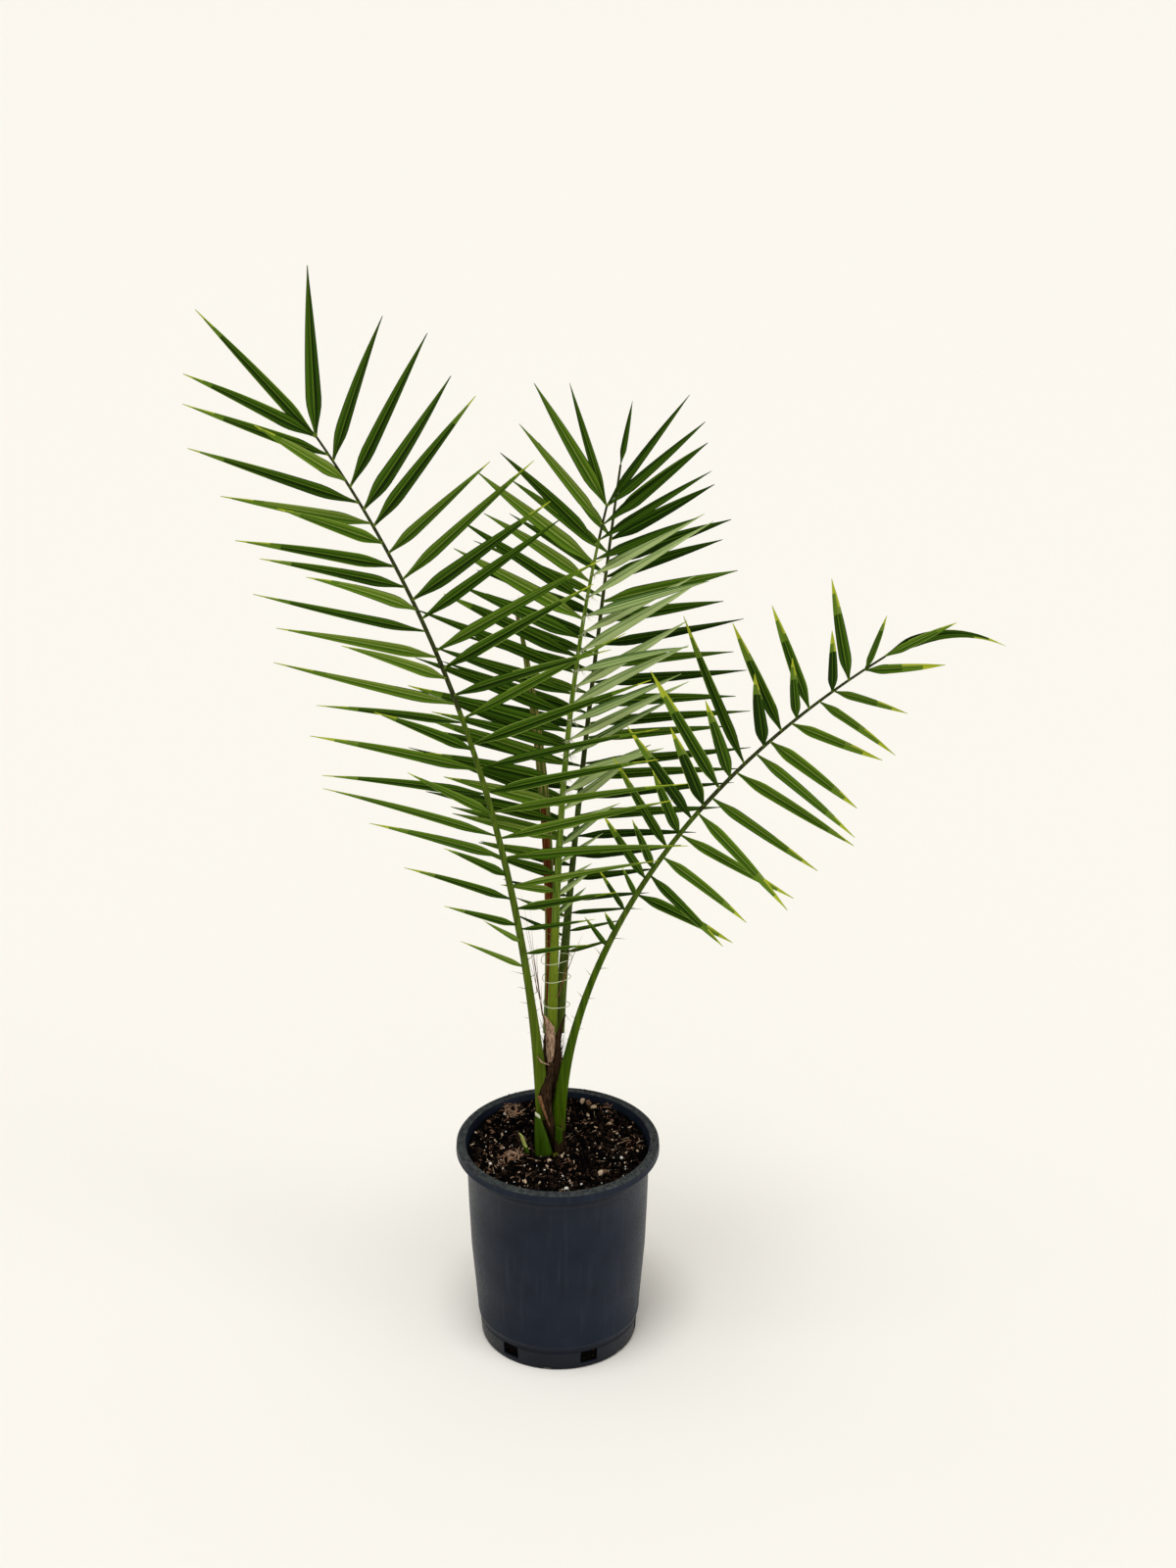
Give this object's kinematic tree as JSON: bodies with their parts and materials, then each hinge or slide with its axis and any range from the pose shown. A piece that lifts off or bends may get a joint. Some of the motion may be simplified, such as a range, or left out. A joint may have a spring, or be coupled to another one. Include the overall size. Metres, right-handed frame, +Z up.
{
  "type": "potted silver date palm",
  "caption": "Young potted silver date palm: feather fronds of narrow leaflets and a closed new leaf on a short sheathed stem, in a tapered nursery pot of potting mix.",
  "frame": {"origin": "middle of the pot's flat underside", "axes": "+Z up along the pot's axis; +Y away from the picture's camera; +X to the picture's right"},
  "size_m": [0.9007, 0.3195, 1.4281],
  "materials": {
    "pot_plastic": "satin moulded",
    "potting_mix": "coarse and crumbly",
    "leaf_sheath": "dry and fibrous",
    "green_stalk": "smooth, waxy",
    "new_leaf": "striped, satin",
    "fronds": "leathery, satin"
  },
  "bodies": {
    "root": {"pot": "pot_plastic", "soil": "potting_mix", "stem": "leaf_sheath", "cut_stub_front": "green_stalk", "cut_stub_side": "green_stalk", "side_shoot": "green_stalk", "spear": "new_leaf", "frond_front": "fronds", "frond_rear": "fronds", "frond_right": "fronds", "frond_left": "fronds"}
  },
  "joints": []
}
